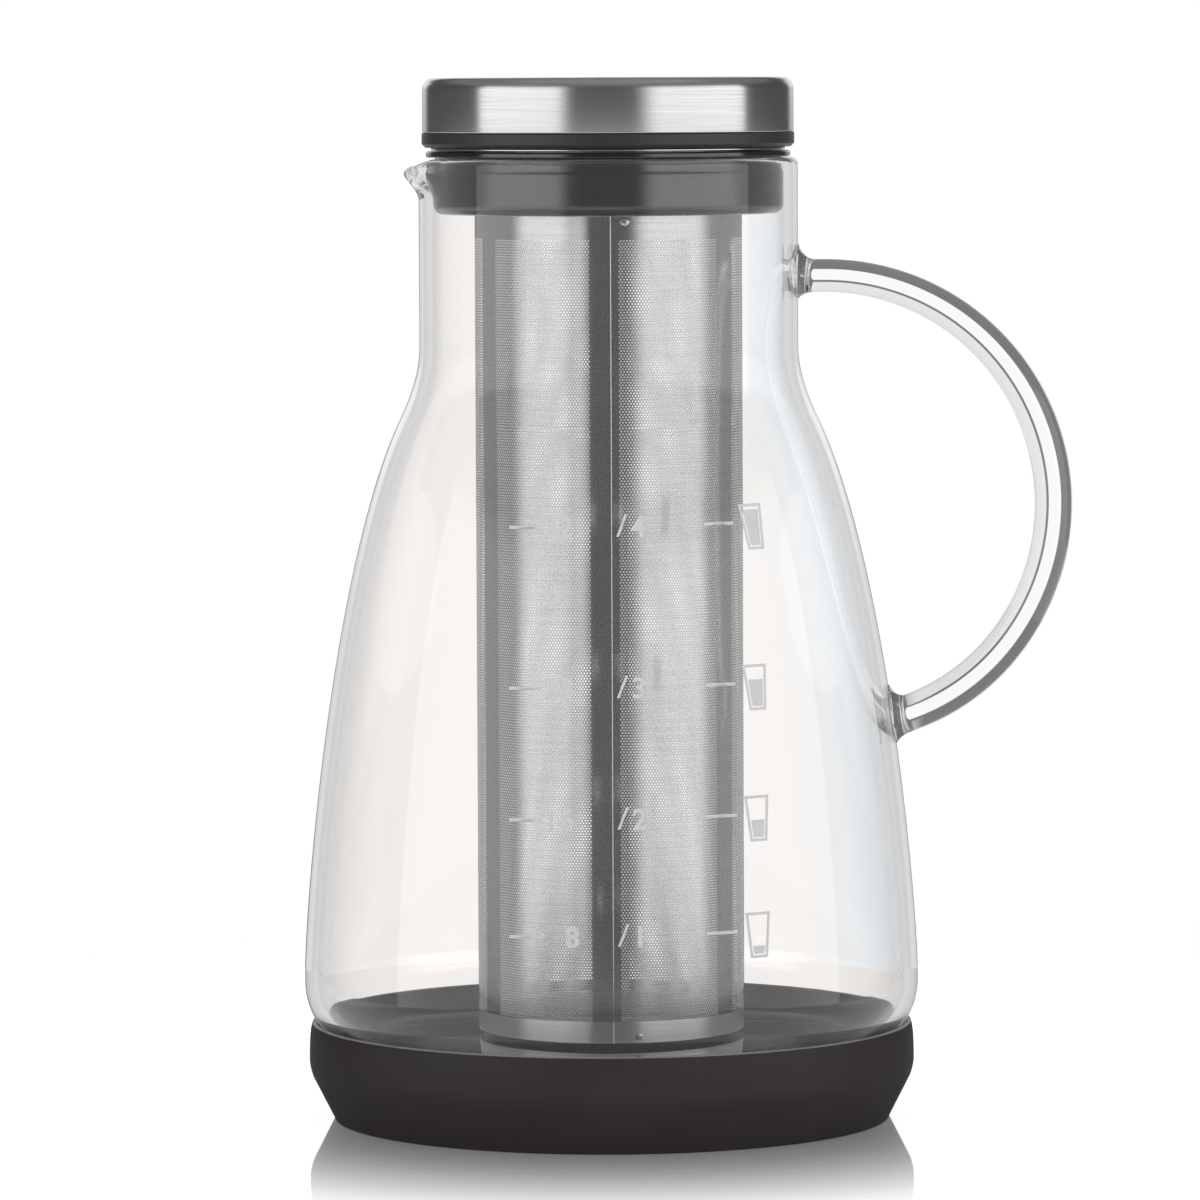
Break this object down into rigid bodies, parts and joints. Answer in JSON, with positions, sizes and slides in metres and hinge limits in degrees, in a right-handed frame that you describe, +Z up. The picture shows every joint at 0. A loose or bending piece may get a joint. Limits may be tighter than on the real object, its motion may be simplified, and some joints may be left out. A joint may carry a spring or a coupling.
{
  "type": "cold brew coffee pitcher",
  "caption": "Glass carafe with a rod handle and pouring lip in a silicone boot, with a hanging perforated steel filter, a neck seal and a steel-capped plug lid.",
  "frame": {"origin": "centre of the boot's flat underside, on the axis of the carafe", "axes": "+Z up along the carafe's axis, +X towards the handle, -X towards the pouring lip, -Y towards the printed scale"},
  "size_m": [0.1536, 0.1228, 0.2077],
  "materials": {
    "boot_silicone": "matte moulded silicone",
    "carafe_glass": "clear blown borosilicate glass",
    "seal_silicone": "satin moulded silicone",
    "perforated_steel": "fine perforated stainless sheet",
    "plain_steel": "satin stainless sheet",
    "brushed_steel": "stainless steel brushed round its axis",
    "lid_plastic": "fine matte moulded plastic"
  },
  "bodies": {
    "base": {"base_boot": "boot_silicone"},
    "carafe": {"carafe_body": "carafe_glass", "handle": "carafe_glass"},
    "seal": {"neck_seal": "seal_silicone"},
    "filter": {"filter_tube": "perforated_steel", "filter_rim": "plain_steel", "filter_base_cup": "plain_steel"},
    "lid": {"lid_cap": "brushed_steel", "lid_core": "lid_plastic", "lid_gasket": "seal_silicone"}
  },
  "joints": [
    {"name": "carafe_lift", "type": "slide", "parent": "base", "child": "carafe", "axis": [0, 0, 1], "range_m": [0, 0.03]},
    {"name": "seal_lift", "type": "slide", "parent": "carafe", "child": "seal", "axis": [0, 0, 1], "range_m": [0, 0.02]},
    {"name": "filter_lift", "type": "slide", "parent": "seal", "child": "filter", "axis": [0, 0, 1], "range_m": [0, 0.19]},
    {"name": "lid_lift", "type": "slide", "parent": "filter", "child": "lid", "axis": [0, 0, 1], "range_m": [0, 0.03]}
  ]
}
